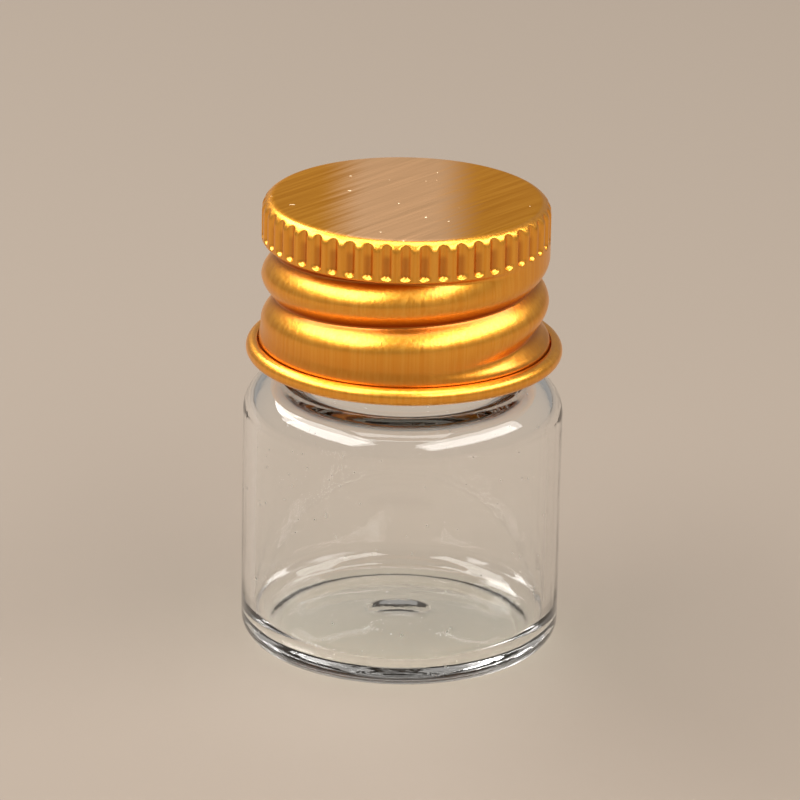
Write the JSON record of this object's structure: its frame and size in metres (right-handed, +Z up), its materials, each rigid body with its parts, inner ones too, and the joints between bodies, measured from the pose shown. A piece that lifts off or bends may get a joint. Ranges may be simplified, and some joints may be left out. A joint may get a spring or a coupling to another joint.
{
  "type": "sample vial",
  "caption": "Small clear glass sample vial with a straight body, a rounded shoulder and a gold screw cap with a fluted grip, rolled thread and curled foot.",
  "frame": {"origin": "centre of the base, on the surface that the vial stands on", "axes": "+Z up along the vial's axis, -Y towards the front, +X to the right"},
  "size_m": [0.022, 0.022, 0.0318],
  "materials": {
    "clear_glass": "clear fire-polished",
    "gold_aluminium": "satin gold anodised, brushed top",
    "liner_foam": "matte foamed polyethylene"
  },
  "bodies": {
    "vial": {"vial_body": "clear_glass"},
    "liner": {"cap_liner": "liner_foam"},
    "cap": {"cap_shell": "gold_aluminium"}
  },
  "joints": [
    {"name": "cap_lift", "type": "slide", "parent": "vial", "child": "liner", "axis": [0, 0, 1], "range_m": [0, 0.0128]},
    {"name": "cap_turn", "type": "hinge", "parent": "liner", "child": "cap", "pos_m": [0, 0, 0.03], "axis": [0, 0, 1], "range_deg": [0, 1440]}
  ],
  "couplings": [
    {"joint": "cap_lift", "follows": "cap_turn", "m_per_rad": 0.00050532}
  ]
}
